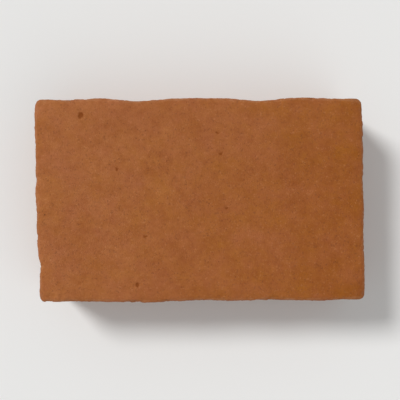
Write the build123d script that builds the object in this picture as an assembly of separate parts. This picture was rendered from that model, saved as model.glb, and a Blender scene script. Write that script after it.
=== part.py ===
"""The large rectangular stone of a three-size block paving, laid in courses.

One stone is one pressing. Its four walls stand plumb, because it is stripped straight out of its
mould, and they wander in plan like a hand-cut edge. The press shoe leaves a flat wearing face that
rolls off towards the walls, and the arris where face and wall meet is rounded. Upright spacer nibs
on the walls stop short of the face and set the joint to the next stone.

The origin is the middle of the bed, the underside. X runs along the course, Y points to the back of
the stone and Z is up. All sizes are in millimetres.
"""

import os

from build123d import *

# Laying module, from joint centre to joint centre, and the joints at the ends and along the sides
laid_length = 242.0
laid_width = 150.0
end_joint = 4.5
side_joint = 3.0
thickness = 60.0

# Plumb corners between two walls
corner_radius = 5.0

# Wearing face: how far inside the wall it starts to roll off, how far it has dropped at the wall,
# the plan radius of the flat part's corners, and the rounding of the arris
roll_reach = 11.0
roll_drop = 1.1
face_corner_radius = 10.0
arris_radius = 2.5

# Bed edge
bed_chamfer = 1.0

# Spacer nibs: their width, the rounding of their outer edges, how far below the face they end, how
# deep they root in the stone, and the distance between the two on a long side and on an end
nib_width = 9.0
nib_edge_radius = 1.2
nib_below_face = 14.0
nib_root = 7.0
nib_spacing_on_side = 180.0
nib_spacing_on_end = 60.0

# Each wall wanders about its straight line. This is how far it stands out there, at points evenly
# spaced between its two corners, the sides from left to right and the ends from front to back
front_side_wander = (0.4, 0.7, 1.1, 0.6, -0.7, 0.0, -0.9, -0.5, -0.7)
back_side_wander = (-0.8, 0.5, -1.5, 0.2, 0.7, 0.4, -1.2, 1.0, 0.6)
left_end_wander = (-2.4, -0.5, -0.1, 0.9, 0.8, 1.5)
right_end_wander = (0.9, 0.2, 0.4, -0.4, -0.2, -0.6)

# How far each corner stands out from the straight lines, along X and along Y
front_left_corner = (-1.8, 0.9)
front_right_corner = (1.1, -1.2)
back_right_corner = (-1.1, 0.4)
back_left_corner = (1.5, -0.1)

half_length = (laid_length - end_joint) / 2
half_width = (laid_width - side_joint) / 2


def corner_centre(x_sign, y_sign, stands_out):
    """The centre of one rounded corner."""
    return Vector(
        x_sign * (half_length + stands_out[0] - corner_radius),
        y_sign * (half_width + stands_out[1] - corner_radius),
    )


def evenly_between(start, end, wander):
    """Each wander value with its place between a wall's two ends."""
    step = (end - start) / (len(wander) + 1)
    return [(start + step * (index + 1), out) for index, out in enumerate(wander)]


def side_wall(start, end, y_sign, wander):
    """The plan curve of a long side, which leaves both of its corners along X."""
    places = evenly_between(start.X, end.X, wander)
    points = [(x, y_sign * (half_width + out)) for x, out in places]
    along = Vector(1, 0)
    return Spline(start, *points, end, tangents=(along, along))


def end_wall(start, end, x_sign, wander):
    """The plan curve of an end, which leaves both of its corners along Y."""
    places = evenly_between(start.Y, end.Y, wander)
    points = [(x_sign * (half_length + out), y) for y, out in places]
    along = Vector(0, 1)
    return Spline(start, *points, end, tangents=(along, along))


def stone_outline():
    """The closed plan outline, four wandering walls and four rounded corners."""
    front_left = corner_centre(-1, -1, front_left_corner)
    front_right = corner_centre(1, -1, front_right_corner)
    back_right = corner_centre(1, 1, back_right_corner)
    back_left = corner_centre(-1, 1, back_left_corner)
    right, back = Vector(corner_radius, 0), Vector(0, corner_radius)
    return Curve() + [
        side_wall(front_left - back, front_right - back, -1, front_side_wander),
        CenterArc(front_right, corner_radius, -90, 90),
        end_wall(front_right + right, back_right + right, 1, right_end_wander),
        CenterArc(back_right, corner_radius, 0, 90),
        side_wall(back_left + back, back_right + back, 1, back_side_wander),
        CenterArc(back_left, corner_radius, 90, 90),
        end_wall(front_left - right, back_left - right, -1, left_end_wander),
        CenterArc(front_left, corner_radius, 180, 90),
    ]


def press_shoe_form():
    """The form under the press shoe, a flat top that rolls off all round and is wider than the
    stone, so that the walls cut through the roll."""
    roll_radius = (roll_reach**2 + roll_drop**2) / (2 * roll_drop)
    wider = 2 * (roll_radius - roll_reach)
    plan = RectangleRounded(
        2 * half_length + wider,
        2 * half_width + wider,
        roll_radius + face_corner_radius,
    )
    # The roll's own radius is added below the bed, so that it fits on the block at any thickness
    block = extrude(Pos(0, 0, -roll_radius) * plan, amount=thickness + roll_radius)
    return fillet(block.edges().group_by(Axis.Z)[-1], roll_radius)


def is_plumb(face):
    """Whether a face stands upright."""
    return round(face.normal_at().Z, 2) == 0


def arris_edges(body):
    """The edges where the plumb walls meet the wearing face."""
    lowest = thickness - nib_below_face
    wall_edges = body.faces().filter_by(is_plumb).edges()
    return wall_edges.filter_by_position(Axis.Z, lowest, thickness)


def stone_body():
    """The stone without its nibs."""
    prism = extrude(make_face(stone_outline()), amount=thickness)
    prism = chamfer(prism.edges().group_by(Axis.Z)[0], bed_chamfer)
    body = prism & press_shoe_form()
    return fillet(arris_edges(body), arris_radius)


def spacer_nib(joint):
    """One nib on a wall that faces along X, with the wall's straight line at X = 0. It reaches to
    the middle of the joint."""
    reach = joint / 2
    top = thickness - nib_below_face
    side_view = Polyline(
        (-nib_root, 0),
        (reach - bed_chamfer, 0),
        (reach, bed_chamfer),
        (reach, top - reach),
        (-nib_root, top + nib_root),
        close=True,
    )
    rib = extrude(Plane.XZ * make_face(side_view), amount=nib_width / 2, both=True)
    outer_edges = rib.edges().filter_by(Axis.Z).group_by(Axis.X)[-1]
    return fillet(outer_edges, nib_edge_radius)


def nibs():
    """Two nibs on each wall, eight in all."""
    end_nib, side_nib = spacer_nib(end_joint), spacer_nib(side_joint)
    placed = []
    for turn in (0, 180):
        for shift in (-nib_spacing_on_end / 2, nib_spacing_on_end / 2):
            placed.append(Rot(Z=turn) * Pos(half_length, shift, 0) * end_nib)
        for shift in (-nib_spacing_on_side / 2, nib_spacing_on_side / 2):
            placed.append(Rot(Z=turn + 90) * Pos(half_width, shift, 0) * side_nib)
    return placed


def paving_stone():
    """The whole stone, one solid."""
    return (stone_body() + nibs()).clean()


os.makedirs("parts", exist_ok=True)
export_step(paving_stone(), "parts/paving_stone.step")
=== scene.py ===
"""The looks of a terracotta paving stone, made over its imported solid.

The file is laid out as an add-on. Run as a script, it makes the stone and the stage that it lies
on. Lengths are in metres, and colours are linear.
"""

import math

import bmesh
import bpy
from bpy.props import FloatProperty, FloatVectorProperty, IntProperty, PointerProperty
from bpy.types import Operator, Panel, PropertyGroup
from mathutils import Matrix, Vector


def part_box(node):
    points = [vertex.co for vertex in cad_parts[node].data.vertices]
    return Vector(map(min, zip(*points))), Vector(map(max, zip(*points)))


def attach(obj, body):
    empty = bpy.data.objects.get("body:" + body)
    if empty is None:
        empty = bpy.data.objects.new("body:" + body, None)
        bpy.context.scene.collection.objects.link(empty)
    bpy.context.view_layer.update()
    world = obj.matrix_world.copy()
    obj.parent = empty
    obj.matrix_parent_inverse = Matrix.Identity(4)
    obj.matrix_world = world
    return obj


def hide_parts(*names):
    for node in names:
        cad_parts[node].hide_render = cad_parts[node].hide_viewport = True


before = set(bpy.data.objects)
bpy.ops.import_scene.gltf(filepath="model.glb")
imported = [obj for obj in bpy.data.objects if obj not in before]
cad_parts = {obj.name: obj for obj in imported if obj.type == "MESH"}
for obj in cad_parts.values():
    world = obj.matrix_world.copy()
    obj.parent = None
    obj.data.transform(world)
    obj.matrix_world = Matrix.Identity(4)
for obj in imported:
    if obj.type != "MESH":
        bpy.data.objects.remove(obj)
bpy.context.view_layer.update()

bl_info = {
    "name": "Terracotta Paving Stone",
    "version": (1, 0, 0),
    "blender": (4, 5, 0),
    "location": "3D View > Sidebar > Paving Stone",
    "description": "Makes a pressed concrete paving stone over its solid, and its stage",
    "category": "Add Mesh",
}

STONE_NODE = "paving_stone"
FINISH_SLOT = "terracotta_concrete"
MM = 0.001

low_corner, high_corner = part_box(STONE_NODE)

# What one more on the seed adds to a place, and the way to a second noise that is unlike the first
SEED_STEP = Vector((0.37, 0.71, 0.13))
ELSEWHERE = Vector((0.2, 0.3, 0.1))

# Dark spots on the wearing face, each a shallow dip painted dark, seen from above: x, y and radius
# in mm
FACE_MARKS = (
    (-86.0, 61.0, 2.9),
    (12.5, 48.5, 1.7),
    (15.2, 33.3, 2.0),
    (-60.0, 22.5, 1.7),
    (19.0, -6.0, 1.5),
    (-39.5, -26.2, 1.7),
    (-45.0, -61.0, 2.2),
)

# How far apart pores may lie, and the chance above which a place has one
FACE_PORES = (9 * MM, 0.6)
WALL_PORES = (5 * MM, 0.55)

# How steeply pores and marks go down from their rims
PORE_SLOPE = 0.9
MARK_SLOPE = 0.25

# How far inside its rim a pore of the face, one of the walls or bed, and a mark have their full
# dark colour (painted shade in the pores), and any pore its full depth
FACE_PORE_EDGE = 0.3 * MM
WALL_PORE_EDGE = 0.7 * MM
MARK_EDGE = 1.2 * MM
PORE_HOLLOW = 0.6 * MM

# Noises by what they make: the length of their waves, how many finer waves they carry, and how
# strong these are
FACE_WAVES = (55 * MM, 1.0)
FACE_SAND = (2.4 * MM, 3.0, 0.6)
WALL_WAVES = (18 * MM, 2.0)
MOULD_DRAG = (3.2 * MM, 3.0, 0.6)
BED_GRIT = (5 * MM, 2.0, 0.6)
ARRIS_CRUMBS = (5.5 * MM, 3.0, 0.6)
RIM_NICKS = (12 * MM, 3.0, 0.6)
OPEN_GAPS = (3 * MM, 4.0, 0.65)
OPEN_PATCHES = (32 * MM, 2.0)
OCHRE_CLOUDS = (26 * MM, 4.0, 0.7)
PINK_CLOUDS = (20 * MM, 4.0, 0.7)
TONE_CLOUDS = (22 * MM, 4.0, 1.0)
WALL_STREAKS = (5 * MM, 4.0, 0.6)
RUBBED_PATCHES = (4 * MM, 3.0, 0.6)
FINE_SAND = (0.7 * MM, 4.0, 0.75)
SAND_PRICKS = (1.3 * MM, 2.0, 0.6)

# How long the waves are that make an outline ragged, and how far they push it
RAGGED_PORES = (3 * MM, 1.6 * MM)
RAGGED_MARKS = (2.6 * MM, 3.4 * MM)
RAGGED_SAND = (0.8 * MM, 0.5 * MM)
RAGGED_COARSE = (4 * MM, 3 * MM)

# How far apart the sand grains and the coarse grains lie
SAND_SIZE = 0.9 * MM
COARSE_SIZE = 4.5 * MM

# The chances between which a sand grain turns pale or dark, and a coarse grain shows, and how far
# from its middle a coarse grain ends, as a share of its size
ODD_GRAINS = (0.88, 1.0)
COARSE_GRAINS = (0.72, 0.95)
COARSE_RIM = (0.27, 0.36)

# How much X, Y and Z count for the upright marks on the walls, in the relief and in the colour
DRAGGED = (1.0, 1.0, 0.2)
STREAKED = (1.0, 1.0, 0.12)

# The colour turns from its left colour to its right one along this direction, over this distance
# to each side of the middle: partly the pigment's own change, partly painted light and shade,
# paler towards the key lamp at the upper left. The turn wanders by this much, in waves of this
# length
LEAN_DIRECTION = (0.94, -0.34, 0.0)
LEAN_REACH = 120 * MM
LEAN_WANDER = 90 * MM
LEAN_WAVE = 60 * MM

# How much red, green and blue rise with the tone
TONE_COLOUR = (0.68, 1.08, 1.8)

# Height of the finest relief, which only shades the surface
BUMP_HEIGHT = 0.25 * MM

# How far a surface is turned up, as the Z of its normal, where it passes from zone to zone
FACE_TURN = (0.35, 0.8)
BED_TURN = (0.9, 0.995)
ARRIS_TURN = (0.94, 0.985)
RIM_TURN = (0.985, 0.9985)

# Heights between which the walls' texture, the arris and the wider rim of the face set in,
# counted from the bed
WALL_FOOT = (0.5 * MM, 5 * MM)
ARRIS_FOOT = (high_corner.z - 6 * MM, high_corner.z - 3 * MM)
RIM_FOOT = (high_corner.z - 12 * MM, high_corner.z - 4 * MM)

# How far short of the stone's box the faces of the nibs begin and are whole
NIB_BAND = (-0.45 * MM, -0.15 * MM)

# The share of the walls' texture that is left at their foot, and the share that a nib loses
FOOT_TEXTURE = 0.2
NIB_SMOOTHNESS = 0.6

# Points of the solid's mesh that are nearer than this are one point
SAME_POINT = 0.001 * MM

# How surely a point must belong to the bed for its mesh to be thinned
SURELY_BED = 0.9

# Where each lamp stands, seen from the stone, and how wide it looks from there
KEY_LAMP = ((-0.75, 0.6, 1.0), math.radians(16))
FILL_LAMP = ((0.7, -0.8, 0.9), math.radians(60))


# Nodes written as expressions


class Value:
    """One output socket. An expression on values adds the maths nodes that work it out."""

    def __init__(self, graph, socket):
        self.graph = graph
        self.socket = socket

    def output(self, name):
        """Another output of the same node."""
        return Value(self.graph, self.socket.node.outputs[name])

    def maths(self, operation, *terms):
        """The result of a Math node."""
        return self.graph.node("ShaderNodeMath", {"operation": operation}, dict(enumerate(terms)))

    def __add__(self, other):
        return self.maths("ADD", self, other)

    def __sub__(self, other):
        return self.maths("SUBTRACT", self, other)

    def __rsub__(self, other):
        return self.maths("SUBTRACT", other, self)

    def __mul__(self, other):
        return self.maths("MULTIPLY", self, other)

    def __neg__(self):
        return self.maths("MULTIPLY", self, -1.0)

    def __abs__(self):
        return self.maths("ABSOLUTE", self)

    __radd__ = __add__
    __rmul__ = __mul__


class Graph:
    """A node tree that nodes are added to by name."""

    def __init__(self, tree):
        self.tree = tree

    def node(self, kind, settings=None, inputs=None, output=0):
        """Adds a node with its settings, then its sockets' values or links, and gives an output."""
        made = self.tree.nodes.new(kind)
        for name, setting in (settings or {}).items():
            setattr(made, name, setting)
        for key, given in (inputs or {}).items():
            if isinstance(given, Value):
                self.tree.links.new(given.socket, made.inputs[key])
            else:
                made.inputs[key].default_value = given
        return Value(self, made.outputs[output]) if made.outputs else None

    def vector(self, operation, *terms):
        """Vector Math on vectors."""
        kind = "ShaderNodeVectorMath"
        return self.node(kind, {"operation": operation}, dict(enumerate(terms)))

    def measure(self, operation, first, second):
        """A number worked out from two vectors."""
        inputs = {0: first, 1: second}
        return self.node("ShaderNodeVectorMath", {"operation": operation}, inputs, "Value")

    def scaled(self, vector, factor):
        """A vector or a colour times a number."""
        inputs = {"Vector": vector, "Scale": factor}
        return self.node("ShaderNodeVectorMath", {"operation": "SCALE"}, inputs)

    def parts(self, vector):
        """The X, Y and Z of a vector."""
        split = self.node("ShaderNodeSeparateXYZ", inputs={"Vector": vector})
        return split, split.output("Y"), split.output("Z")

    def larger(self, first, second):
        """The larger of two values."""
        return first.maths("MAXIMUM", first, second)

    def ramp(self, value, start, end, low=0.0, high=1.0, kind="SMOOTHSTEP"):
        """Low up to start, high from end on, and a soft step between them."""
        inputs = {"Value": value, "From Min": start, "From Max": end, "To Min": low, "To Max": high}
        return self.node("ShaderNodeMapRange", {"interpolation_type": kind}, inputs)

    def fall(self, value, start, end):
        """1 up to start, 0 from end on, and a soft step between them."""
        return self.ramp(value, start, end, low=1.0, high=0.0)

    def noise(self, place, size, detail=2.0, roughness=0.5, output="Fac"):
        """Noise that sways about 0.5, with waves about as long as size."""
        inputs = {"Vector": place, "Scale": 1 / size, "Detail": detail, "Roughness": roughness}
        return self.node("ShaderNodeTexNoise", inputs=inputs, output=output)

    def waves(self, place, size, detail=2.0, roughness=0.5):
        """Noise spread over 0 to 1."""
        return self.ramp(self.noise(place, size, detail, roughness), 0.3, 0.7, kind="LINEAR")

    def cells(self, place, size):
        """The distance to the middle of the nearest of many cells, as a share of their size. The
        same node's Color is a random one for each cell."""
        inputs = {"Vector": place, "Scale": 1 / size}
        return self.node("ShaderNodeTexVoronoi", inputs=inputs, output="Distance")

    def mix(self, first, second, factor):
        """A colour between two."""
        inputs = {0: factor, 6: first, 7: second}
        return self.node("ShaderNodeMix", {"data_type": "RGBA"}, inputs, output=2)

    def moved(self, mesh, to=None, by=None):
        """The mesh with its points moved to a place or by a vector."""
        inputs = {"Geometry": mesh, "Position": to, "Offset": by}
        given = {name: value for name, value in inputs.items() if value is not None}
        return self.node("GeometryNodeSetPosition", inputs=given)


# What the mesh and the finish both follow


def bent(graph, place, size, reach):
    """The place pushed about by noise, so that what follows it has ragged outlines."""
    push = graph.vector("SUBTRACT", graph.noise(place, size, output="Color"), (0.5, 0.5, 0.5))
    return graph.vector("ADD", place, graph.scaled(push, reach))


def inside_pores(graph, place, spread, radius):
    """How far inside a pore a place lies, in metres, and 0 outside of all pores."""
    spacing, rarest = spread
    cells = graph.cells(place, spacing)
    chance = graph.parts(cells.output("Color"))[0]
    own_radius = graph.ramp(chance, rarest, 1.0, high=radius, kind="LINEAR")
    return graph.larger(own_radius - cells * spacing, 0.0)


def open_texture(graph, place):
    """Where the concrete is open between its grains, from 0 to 1, in patches."""
    gaps = graph.ramp(graph.noise(place, *OPEN_GAPS), 0.55, 0.66)
    return gaps * graph.ramp(graph.noise(place, *OPEN_PATCHES), 0.38, 0.6, low=0.15)


def inside_marks(graph, place):
    """How far inside one of the face's marks a place lies, in metres, and 0 outside."""
    place = bent(graph, place, *RAGGED_MARKS)
    inside = None
    for x, y, radius in FACE_MARKS:
        centre = (x * MM, y * MM, high_corner.z)
        here = radius * MM - graph.measure("DISTANCE", place, centre)
        inside = graph.larger(inside, here) if inside else here
    return graph.larger(inside, 0.0)


# The skin


def skin_inputs(tree, sizes):
    """Gives the tree one named input for each size, and returns the inputs' identifiers."""
    identifiers = {}
    for key in sizes.__annotations__:
        rna = sizes.bl_rna.properties[key]
        kind = "NodeSocketInt" if rna.type == "INT" else "NodeSocketFloat"
        socket = tree.interface.new_socket(rna.name, in_out="INPUT", socket_type=kind)
        socket.default_value = rna.default
        identifiers[key] = socket.identifier
    return identifiers


def laid_on(graph, mesh, form, size):
    """The mesh with each point laid on the form, and the form's facets smoothed."""
    faces = {"target_element": "FACES"}
    nearest = graph.node("GeometryNodeProximity", faces, {"Geometry": form}, "Position")
    mesh = graph.moved(mesh, to=nearest)
    smooth = graph.node(
        "GeometryNodeBlurAttribute",
        {"data_type": "FLOAT_VECTOR"},
        {"Value": graph.node("GeometryNodeInputPosition"), "Iterations": size["smoothing"]},
    )
    return graph.moved(mesh, to=smooth)


def stored(graph, mesh, name, value):
    """The mesh with a value kept on its points under that name."""
    inputs = {"Geometry": mesh, "Name": name, "Value": value}
    settings = {"data_type": "FLOAT", "domain": "POINT"}
    return graph.node("GeometryNodeStoreNamedAttribute", settings, inputs)


def read(graph, name):
    """A value kept on the mesh's points."""
    settings = {"data_type": "FLOAT"}
    return graph.node("GeometryNodeInputNamedAttribute", settings, {"Name": name})


def surface_zones(graph):
    """How much a point belongs to the face, walls, bed, arris, wider rim and nibs, from 0 to 1."""
    upward = graph.parts(graph.node("GeometryNodeInputNormal"))[2]
    x, y, height = graph.parts(graph.node("GeometryNodeInputPosition"))
    # The nibs' faces stand out furthest and are rubbed smooth
    standing_out = graph.larger(abs(x) - high_corner.x, abs(y) - high_corner.y)
    nib = graph.ramp(standing_out, *NIB_BAND)
    face = graph.ramp(upward, *FACE_TURN)
    wall = graph.fall(abs(upward), *FACE_TURN)
    wall = wall * graph.ramp(height, *WALL_FOOT, low=FOOT_TEXTURE) * (1.0 - nib * NIB_SMOOTHNESS)
    bed = graph.ramp(-upward, *BED_TURN)
    arris = graph.fall(upward, *ARRIS_TURN) * graph.ramp(height, *ARRIS_FOOT)
    rim = graph.fall(upward, *RIM_TURN) * graph.ramp(height, *RIM_FOOT)
    return {"face": face, "wall": wall, "bed": bed, "arris": arris, "rim": rim, "nib": nib}


def relief(graph, size):
    """How far the surface lies below the solid's, in metres."""
    plain_place = graph.node("GeometryNodeInputPosition")
    place = graph.vector("ADD", plain_place, graph.scaled(SEED_STEP, size["seed"]))
    ragged = bent(graph, place, *RAGGED_PORES)
    gaps = open_texture(graph, place)
    pores = inside_pores(graph, ragged, WALL_PORES, size["wall_pore"]) * PORE_SLOPE

    on_face = (
        graph.waves(place, *FACE_WAVES) * size["face_sway"]
        + graph.waves(place, *FACE_SAND) * size["face_sand"]
        + inside_pores(graph, ragged, FACE_PORES, size["face_pore"]) * PORE_SLOPE
        + inside_marks(graph, plain_place) * MARK_SLOPE
    )
    dragged = graph.vector("MULTIPLY", place, DRAGGED)
    on_walls = (
        (graph.waves(place, *WALL_WAVES) - 0.5) * size["wall_sway"]
        + (graph.waves(dragged, *MOULD_DRAG) - 0.5) * size["wall_drag"]
        + gaps * size["wall_pits"]
        + pores
    )
    on_bed = graph.waves(place, *BED_GRIT) * size["bed_grit"] + gaps * size["bed_pits"] + pores
    crumble = graph.waves(place, *ARRIS_CRUMBS) * size["arris_wear"]
    nicks = graph.ramp(graph.noise(ragged, *RIM_NICKS), 0.55, 0.7) * size["nick_depth"]
    depths = {"face": on_face, "wall": on_walls, "bed": on_bed, "arris": crumble, "rim": nicks}
    return sum(read(graph, zone) * depth for zone, depth in depths.items())


def stone_skin_tree(form_object, material, sizes):
    """Builds the nodes that lay a fine mesh on the form and press the relief into it."""
    tree = bpy.data.node_groups.new("Stone Skin", "GeometryNodeTree")
    for way in ("INPUT", "OUTPUT"):
        tree.interface.new_socket("Geometry", in_out=way, socket_type="NodeSocketGeometry")
    identifiers = skin_inputs(tree, sizes)
    graph = Graph(tree)
    group = graph.node("NodeGroupInput")
    names = {key: sizes.bl_rna.properties[key].name for key in identifiers}
    size = {key: group.output(name) for key, name in names.items()}

    form = graph.node("GeometryNodeObjectInfo", inputs={"Object": form_object}, output="Geometry")
    bounds = graph.node("GeometryNodeBoundBox", inputs={"Geometry": form})
    lowest, highest = bounds.output("Min"), bounds.output("Max")
    mesh = laid_on(graph, group.output("Geometry"), form, size)
    for name, zone in surface_zones(graph).items():
        mesh = stored(graph, mesh, name, zone)
    inwards = graph.scaled(graph.node("GeometryNodeInputNormal"), -relief(graph, size))
    mesh = graph.moved(mesh, by=inwards)
    inside = graph.vector("MINIMUM", graph.node("GeometryNodeInputPosition"), highest)
    mesh = graph.moved(mesh, to=graph.vector("MAXIMUM", inside, lowest))
    mesh = graph.node("GeometryNodeSetShadeSmooth", inputs={"Geometry": mesh})
    mesh = graph.node("GeometryNodeRealizeInstances", inputs={"Geometry": mesh})
    finished = {"Geometry": mesh, "Material": material}
    mesh = graph.node("GeometryNodeSetMaterial", inputs=finished)
    graph.node("NodeGroupOutput", inputs={"Geometry": mesh})
    return tree, identifiers


def merged_form():
    """A copy of the solid's mesh with its loose triangles joined."""
    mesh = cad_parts[STONE_NODE].data.copy()
    work = bmesh.new()
    work.from_mesh(mesh)
    bmesh.ops.remove_doubles(work, verts=work.verts, dist=SAME_POINT)
    work.to_mesh(mesh)
    work.free()
    form = bpy.data.objects.new("stone_form", mesh)
    bpy.context.collection.objects.link(form)
    return form


def evaluated_mesh(thing):
    """The plain mesh that an object's modifiers make."""
    bpy.context.view_layer.update()
    shown = thing.evaluated_get(bpy.context.evaluated_depsgraph_get())
    return bpy.data.meshes.new_from_object(shown)


def thinned_bed(stone, triangles):
    """Thins the mesh of the bed until the whole stone has that many triangles."""
    group = stone.vertex_groups.new(name="thinned")
    for index, bed in enumerate(stone.data.attributes["bed"].data):
        if bed.value > SURELY_BED:
            group.add([index], 1.0, "REPLACE")
    now = sum(len(face.vertices) - 2 for face in stone.data.polygons)
    thinning = stone.modifiers.new("Thin the bed", "DECIMATE")
    thinning.vertex_group = group.name
    thinning.ratio = triangles / now
    mesh = evaluated_mesh(stone)
    for point in mesh.vertices:
        point.co.z = max(point.co.z, low_corner.z)
    stone.modifiers.clear()
    stone.vertex_groups.clear()
    stone.data = mesh


# The finish


def clay_with_painted_light(graph, plain_place, place, paints):
    """The concrete's colour, which leans one way across the stone: partly the pigment's own change,
    partly painted light and shade, paler towards the key lamp at the upper left.
    """
    lean = graph.measure("DOT_PRODUCT", plain_place, LEAN_DIRECTION)
    lean = lean + (graph.noise(place, LEAN_WAVE) - 0.5) * LEAN_WANDER
    towards_right = graph.ramp(lean, -LEAN_REACH, LEAN_REACH)
    return graph.mix(paints["left_clay"], paints["right_clay"], towards_right)


def coarse_grains(graph, place):
    """Where a coarse grain lies at the surface, from 0 to 1."""
    grains = graph.cells(bent(graph, place, *RAGGED_COARSE), COARSE_SIZE)
    chance = graph.parts(grains.output("Color"))[0]
    return graph.ramp(chance, *COARSE_GRAINS) * graph.fall(grains, *COARSE_RIM)


def terracotta_concrete(sizes, colours):
    """Through-coloured concrete, dry and sandy, with pores darkened by painted shade and a paler
    worn arris. Its colour leans across the stone, partly pigment and partly painted light and
    shade.
    """
    material = bpy.data.materials.new(FINISH_SLOT)
    material.use_nodes = True
    material.node_tree.nodes.clear()
    graph = Graph(material.node_tree)
    paints = {key: (*getattr(colours, key), 1.0) for key in colours.__annotations__}
    plain_place = graph.node("ShaderNodeTexCoord", output="Object")
    place = graph.vector("ADD", plain_place, SEED_STEP * sizes.seed)
    elsewhere = graph.vector("ADD", place, ELSEWHERE)
    face, arris, nib = (
        graph.node("ShaderNodeAttribute", {"attribute_name": name}, output="Fac")
        for name in ("face", "arris", "nib")
    )

    # Sand grains, each with chances of its own
    sand = graph.cells(bent(graph, place, *RAGGED_SAND), SAND_SIZE)
    pale_chance, dark_chance, brightness = graph.parts(sand.output("Color"))

    # Walls and bed are stripped from the mould: open and streaked
    stripped = 1.0 - face
    gaps = stripped * open_texture(graph, place)
    streaks = graph.waves(graph.vector("MULTIPLY", place, STREAKED), *WALL_STREAKS)

    # The arris is rubbed in patches, and the nibs all over
    patches = graph.ramp(graph.noise(place, *RUBBED_PATCHES), 0.35, 0.6)
    rubbed = graph.larger(patches * arris, (0.5 + patches * 0.5) * nib)

    ragged = bent(graph, place, *RAGGED_PORES)
    face_pores = face * inside_pores(graph, ragged, FACE_PORES, sizes.face_pore)
    wall_pores = stripped * inside_pores(graph, ragged, WALL_PORES, sizes.wall_pore)
    marks = face * inside_marks(graph, plain_place)

    # Each colour in turn, where it lies, and how far it covers there what is under it
    layers = (
        ("ochre_cloud", graph.waves(place, *OCHRE_CLOUDS), 0.5),
        ("pink_cloud", graph.waves(elsewhere, *PINK_CLOUDS), 0.5),
        ("light_grain", graph.ramp(pale_chance, *ODD_GRAINS), 0.3),
        ("dark_grain", graph.ramp(dark_chance, *ODD_GRAINS), 0.4),
        ("coarse_grain", stripped * coarse_grains(graph, place), 0.4),
        ("wall_bloom", stripped * streaks, 0.4),
        # Painted shade: the open texture between the grains and the pores below are darkened with
        # the pores' colour, as shade in their hollows
        ("pore_shade", gaps, 0.4),
        ("rubbed_arris", rubbed, 0.4),
        ("pore_shade", graph.ramp(face_pores, 0.0, FACE_PORE_EDGE), 0.7),
        ("pore_shade", graph.ramp(wall_pores, 0.0, WALL_PORE_EDGE), 0.65),
        # The face's dark spots, each a shallow dip, painted dark
        ("dark_mark", graph.ramp(marks, 0.0, MARK_EDGE), 0.95),
    )
    tint = clay_with_painted_light(graph, plain_place, place, paints)
    for name, where, cover in layers:
        tint = graph.mix(tint, paints[name], where * cover)

    # Where the concrete is paler it is also greyer, and each grain has its own brightness
    tone = graph.noise(place, *TONE_CLOUDS) - 0.5
    shade = graph.vector("ADD", (1.0, 1.0, 1.0), graph.scaled(TONE_COLOUR, tone))
    shade = graph.scaled(shade, 0.95 + brightness * 0.1)

    # The finest relief: what stands up and what is sunk, as shares of its height
    domes = graph.fall(sand, 0.0, 0.75) * (0.3 + brightness)
    fine = graph.noise(place, *FINE_SAND)
    pricks = graph.ramp(graph.noise(elsewhere, *SAND_PRICKS), 0.6, 0.72)
    hollows = graph.ramp(face_pores + wall_pores, 0.0, PORE_HOLLOW)
    height = domes * 0.8 + fine * 1.4 + tone * 0.8 - pricks * 0.6 - hollows - gaps
    finest = {"Strength": 0.9, "Distance": BUMP_HEIGHT, "Height": height}

    finish = {
        "Base Color": graph.vector("MULTIPLY", tint, shade),
        "Roughness": 0.8 + fine * 0.2,
        "Specular IOR Level": 0.3,
        "Normal": graph.node("ShaderNodeBump", inputs=finest),
    }
    concrete = graph.node("ShaderNodeBsdfPrincipled", inputs=finish)
    graph.node("ShaderNodeOutputMaterial", inputs={"Surface": concrete})
    return material


# The stage


def plain_finish(name, colour):
    """A dull, even finish for the floor."""
    material = bpy.data.materials.new(name)
    material.use_nodes = True
    finish = material.node_tree.nodes["Principled BSDF"].inputs
    finish["Base Color"].default_value = (*colour, 1.0)
    finish["Roughness"].default_value = 0.9
    finish["Specular IOR Level"].default_value = 0.0
    return material


def floor_sheet(stage):
    """A large square floor that the stone lies on."""
    half = stage.floor_width / 2
    corners = [(x * half, y * half, low_corner.z) for x, y in ((-1, -1), (1, -1), (1, 1), (-1, 1))]
    mesh = bpy.data.meshes.new("floor")
    mesh.from_pydata(corners, [], [(0, 1, 2, 3)])
    mesh.materials.append(plain_finish("floor_paper", stage.floor_colour))
    floor = bpy.data.objects.new("floor", mesh)
    bpy.context.collection.objects.link(floor)


def soft_lamp(name, stands_at, looks_wide, floor_share):
    """A distant lamp. It gives the floor that share of the light at which colours render as they
    are written."""
    direction = Vector(stands_at).normalized()
    lamp_data = bpy.data.lights.new(name, "SUN")
    lamp_data.angle = looks_wide
    lamp_data.energy = floor_share * math.pi / direction.z
    lamp = bpy.data.objects.new(name, lamp_data)
    lamp.location = direction
    lamp.rotation_euler = direction.to_track_quat("Z", "Y").to_euler()
    bpy.context.collection.objects.link(lamp)


def studio_world(stage):
    """Even light from all round, and the floor's own tone where the camera sees past the floor."""
    world = bpy.data.worlds.new("studio")
    world.use_nodes = True
    world.node_tree.nodes.clear()
    graph = Graph(world.node_tree)
    path = graph.node("ShaderNodeLightPath", output="Is Camera Ray")
    seen = graph.larger(path, path.output("Is Glossy Ray"))
    seen = graph.larger(seen, path.output("Is Transmission Ray"))
    light = {"Color": (1.0, 1.0, 1.0, 1.0), "Strength": stage.sky_share}
    paper = {"Color": (*stage.floor_colour, 1.0), "Strength": 1.0}
    lit = graph.node("ShaderNodeBackground", inputs=light)
    shown = graph.node("ShaderNodeBackground", inputs=paper)
    mixed = graph.node("ShaderNodeMixShader", inputs={0: seen, 1: lit, 2: shown})
    graph.node("ShaderNodeOutputWorld", inputs={"Surface": mixed})
    bpy.context.scene.world = world


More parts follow.
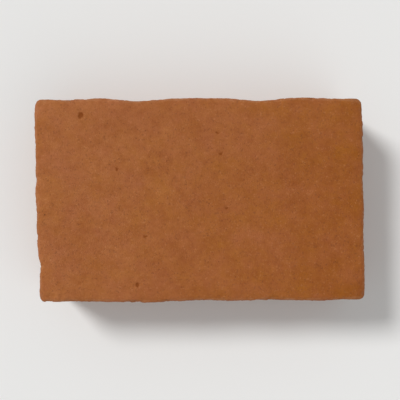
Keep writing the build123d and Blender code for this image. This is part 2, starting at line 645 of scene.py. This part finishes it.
def overhead_camera(stage):
    """A camera straight above the stone, with the stone's back at the top of the picture."""
    lens = bpy.data.cameras.new("overhead")
    lens.lens = stage.lens
    seen_width = (high_corner.x - low_corner.x) / stage.filled_share
    camera = bpy.data.objects.new("overhead", lens)
    above = high_corner.z + seen_width * lens.lens / lens.sensor_width
    camera.location = (0.0, 0.0, above)
    bpy.context.collection.objects.link(camera)
    bpy.context.scene.camera = camera


# Add-on


def length(name, description, default):
    """A length property, in metres."""
    return FloatProperty(
        name=name,
        description=description,
        default=default,
        min=0.0,
        unit="LENGTH",
        precision=5,
    )


def share(name, description, default):
    """A share from 0 to 1."""
    return FloatProperty(
        name=name,
        description=description,
        default=default,
        min=0.0,
        max=1.0,
        subtype="FACTOR",
    )


def count(name, description, default, least=0):
    """A whole number."""
    return IntProperty(name=name, description=description, default=default, min=least)


def paint(name, description, default):
    """A colour property."""
    return FloatVectorProperty(
        name=name,
        description=description,
        default=default,
        min=0.0,
        max=1.0,
        size=3,
        subtype="COLOR",
    )


class MeshSettings(PropertyGroup):
    """How fine the stone's mesh is."""

    step: length("Step", "Distance between mesh points", 1.0 * MM)
    triangles: count("Triangles", "Count that thinning the bed leaves", 190_000, 1000)


class StoneSizes(PropertyGroup):
    """The depths of the stone's relief."""

    smoothing: count("Smoothing", "Rounds of smoothing over the solid's facets", 1)
    face_sway: length("Face Sway", "Depth of the face's long waves", 0.12 * MM)
    face_sand: length("Face Sand", "Depth of the face's sandy grain", 0.07 * MM)
    face_pore: length("Face Pore", "Radius of the face's largest pores", 1.1 * MM)
    wall_sway: length("Wall Sway", "Depth of the walls' waves", 0.3 * MM)
    wall_drag: length("Wall Drag", "Depth of the upright marks left by the mould", 0.3 * MM)
    wall_pits: length("Wall Pits", "Depth of the walls' open texture", 0.6 * MM)
    wall_pore: length("Wall Pore", "Radius of the largest pores of walls and bed", 1.5 * MM)
    bed_grit: length("Bed Grit", "Depth of the bed's grain", 0.4 * MM)
    bed_pits: length("Bed Pits", "Depth of the bed's open texture", 0.55 * MM)
    arris_wear: length("Arris Wear", "Depth of the crumbling along the arris", 0.6 * MM)
    nick_depth: length("Nick Depth", "Depth of the nicks in the rim of the face", 0.9 * MM)
    seed: count("Seed", "Which stone of the batch it is", 3)


class StoneColours(PropertyGroup):
    """The colours of the concrete, its sand and its marks."""

    # The two ends' colours are partly the pigment and partly painted light and shade: the left
    # paler, the right darker
    left_clay: paint("Left Clay", "Pigment towards the left end", (0.376, 0.127, 0.038))
    right_clay: paint("Right Clay", "Pigment towards the right end", (0.282, 0.077, 0.005))
    ochre_cloud: paint("Ochre Cloud", "Pigment where it clouds to ochre", (0.338, 0.112, 0.006))
    pink_cloud: paint("Pink Cloud", "Pigment where it clouds to pink", (0.329, 0.093, 0.039))
    light_grain: paint("Light Grain", "Pale sand grains", (0.46, 0.185, 0.07))
    dark_grain: paint("Dark Grain", "Dark sand grains", (0.15, 0.045, 0.015))
    coarse_grain: paint("Coarse Grain", "Coarse grains shown on walls and bed", (0.40, 0.21, 0.10))
    wall_bloom: paint("Wall Bloom", "Cement film on walls and bed", (0.36, 0.15, 0.07))
    rubbed_arris: paint("Rubbed Arris", "Worn concrete along the arris", (0.41, 0.185, 0.085))
    # Painted shade: the dark of the pores' hollows and of the open texture between the grains
    pore_shade: paint("Pore", "Inside of the pores", (0.14, 0.04, 0.012))
    # Colour of the face's dark spots, which are also shallow dips
    dark_mark: paint("Iron Mark", "Dark marks on the face", (0.215, 0.05, 0.003))


class StageSettings(PropertyGroup):
    """The floor, the light and the camera."""

    floor_width: length("Floor Width", "Side of the square floor", 24.0)
    floor_colour: paint("Floor Colour", "Pale floor", (0.80, 0.80, 0.79))
    key_share: share("Key Share", "Share of the floor's light that the key lamp gives", 0.5)
    fill_share: share("Fill Share", "Share of the floor's light that the fill lamp gives", 0.1)
    sky_share: share("Sky Share", "Share of the floor's light that comes from all round", 0.4)
    filled_share: share("Filled Share", "Share of the picture's width that the stone fills", 0.84)
    lens: FloatProperty(
        name="Lens", description="Focal length", default=60.0, min=1.0, unit="CAMERA"
    )


class PAVING_OT_make_stone(Operator):
    """Make the stone's skin over its solid, with its finish"""

    bl_idname = "paving.make_stone"
    bl_label = "Make Stone"

    def execute(self, context):
        sizes, fineness = context.scene.stone_sizes, context.scene.stone_mesh
        material = terracotta_concrete(sizes, context.scene.stone_colours)
        form = merged_form()
        stone = bpy.data.objects.new("stone", form.data.copy())
        context.collection.objects.link(stone)
        even = stone.modifiers.new("Even Mesh", "REMESH")
        even.voxel_size = fineness.step
        tree, identifiers = stone_skin_tree(form, material, sizes)
        skin = stone.modifiers.new("Stone Skin", "NODES")
        skin.node_group = tree
        for key, identifier in identifiers.items():
            skin[identifier] = getattr(sizes, key)
        mesh = evaluated_mesh(stone)
        stone.modifiers.clear()
        stone.data = mesh
        bpy.data.objects.remove(form)
        thinned_bed(stone, fineness.triangles)
        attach(stone, "root")
        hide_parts(STONE_NODE)
        return {"FINISHED"}


class PAVING_OT_make_stage(Operator):
    """Make the floor, the light and the camera"""

    bl_idname = "paving.make_stage"
    bl_label = "Make Stage"

    def execute(self, context):
        stage = context.scene.stone_stage
        floor_sheet(stage)
        soft_lamp("key_lamp", *KEY_LAMP, stage.key_share)
        soft_lamp("fill_lamp", *FILL_LAMP, stage.fill_share)
        studio_world(stage)
        overhead_camera(stage)
        context.scene.view_settings.view_transform = "Standard"
        return {"FINISHED"}


class PAVING_PT_panel(Panel):
    """Lists the stone's settings and what makes it"""

    bl_label = "Paving Stone"
    bl_space_type = "VIEW_3D"
    bl_region_type = "UI"
    bl_category = "Paving Stone"

    def draw(self, context):
        scene = context.scene
        groups = (scene.stone_mesh, scene.stone_sizes, scene.stone_colours, scene.stone_stage)
        for settings in groups:
            box = self.layout.box()
            for key in settings.__annotations__:
                box.prop(settings, key)
        self.layout.operator(PAVING_OT_make_stone.bl_idname)
        self.layout.operator(PAVING_OT_make_stage.bl_idname)


CLASSES = (
    MeshSettings,
    StoneSizes,
    StoneColours,
    StageSettings,
    PAVING_OT_make_stone,
    PAVING_OT_make_stage,
    PAVING_PT_panel,
)


def register():
    """Adds the classes and the scene's settings."""
    for each in CLASSES:
        bpy.utils.register_class(each)
    bpy.types.Scene.stone_mesh = PointerProperty(type=MeshSettings)
    bpy.types.Scene.stone_sizes = PointerProperty(type=StoneSizes)
    bpy.types.Scene.stone_colours = PointerProperty(type=StoneColours)
    bpy.types.Scene.stone_stage = PointerProperty(type=StageSettings)


def unregister():
    """Takes away what register adds."""
    del bpy.types.Scene.stone_stage
    del bpy.types.Scene.stone_colours
    del bpy.types.Scene.stone_sizes
    del bpy.types.Scene.stone_mesh
    for each in reversed(CLASSES):
        bpy.utils.unregister_class(each)


def main():
    """Makes the stone and its stage."""
    register()
    bpy.ops.paving.make_stone()
    bpy.ops.paving.make_stage()


if __name__ == "__main__":
    main()
